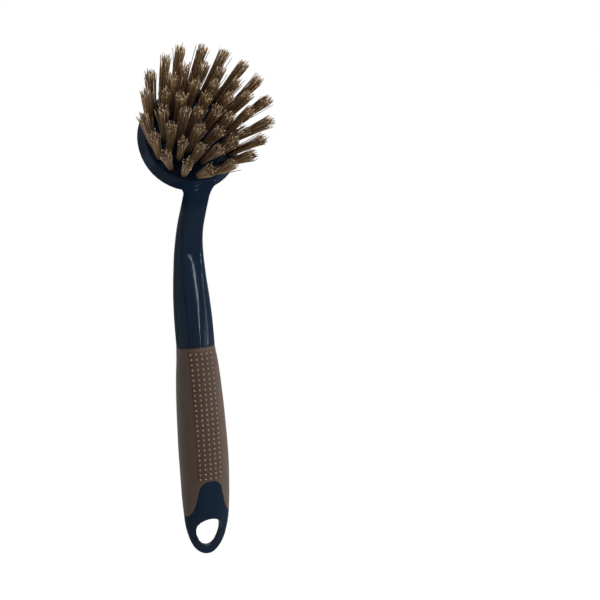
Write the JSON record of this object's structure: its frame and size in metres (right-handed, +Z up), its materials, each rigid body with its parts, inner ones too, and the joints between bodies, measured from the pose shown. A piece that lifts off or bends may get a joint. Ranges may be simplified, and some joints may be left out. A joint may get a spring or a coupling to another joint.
{
  "type": "dish brush",
  "caption": "Washing-up brush with a round tilted head of set tufts, a scraper on its back plate, a curved neck, a rubber grip and a hanging hole.",
  "frame": {"origin": "middle of the hanging hole near the lower end of the handle", "axes": "+Z up along the handle towards the head, bristles towards -Y, +X to the right when the bristles face the viewer"},
  "size_m": [0.0703, 0.0799, 0.2861],
  "materials": {
    "navy_plastic": "satin gloss moulded",
    "taupe_rubber": "soft matt",
    "brown_nylon": "drawn filament"
  },
  "bodies": {
    "root": {"handle": "navy_plastic", "grip_sleeve": "taupe_rubber", "back_plate": "navy_plastic", "tuft_1_01": "brown_nylon", "tuft_1_02": "brown_nylon", "tuft_1_03": "brown_nylon", "tuft_1_04": "brown_nylon", "tuft_1_05": "brown_nylon", "tuft_1_06": "brown_nylon", "tuft_1_07": "brown_nylon", "tuft_1_08": "brown_nylon", "tuft_1_09": "brown_nylon", "tuft_1_10": "brown_nylon", "tuft_1_11": "brown_nylon", "tuft_1_12": "brown_nylon", "tuft_1_13": "brown_nylon", "tuft_1_14": "brown_nylon", "tuft_1_15": "brown_nylon", "tuft_1_16": "brown_nylon", "tuft_1_17": "brown_nylon", "tuft_1_18": "brown_nylon", "tuft_2_01": "brown_nylon", "tuft_2_02": "brown_nylon", "tuft_2_03": "brown_nylon", "tuft_2_04": "brown_nylon", "tuft_2_05": "brown_nylon", "tuft_2_06": "brown_nylon", "tuft_2_07": "brown_nylon", "tuft_2_08": "brown_nylon", "tuft_2_09": "brown_nylon", "tuft_2_10": "brown_nylon", "tuft_2_11": "brown_nylon", "tuft_2_12": "brown_nylon", "tuft_2_13": "brown_nylon", "tuft_2_14": "brown_nylon", "tuft_2_15": "brown_nylon", "tuft_3_01": "brown_nylon", "tuft_3_02": "brown_nylon", "tuft_3_03": "brown_nylon", "tuft_3_04": "brown_nylon", "tuft_3_05": "brown_nylon", "tuft_3_06": "brown_nylon", "tuft_3_07": "brown_nylon", "tuft_3_08": "brown_nylon", "tuft_4_01": "brown_nylon", "tuft_4_02": "brown_nylon", "tuft_4_03": "brown_nylon"}
  },
  "joints": []
}
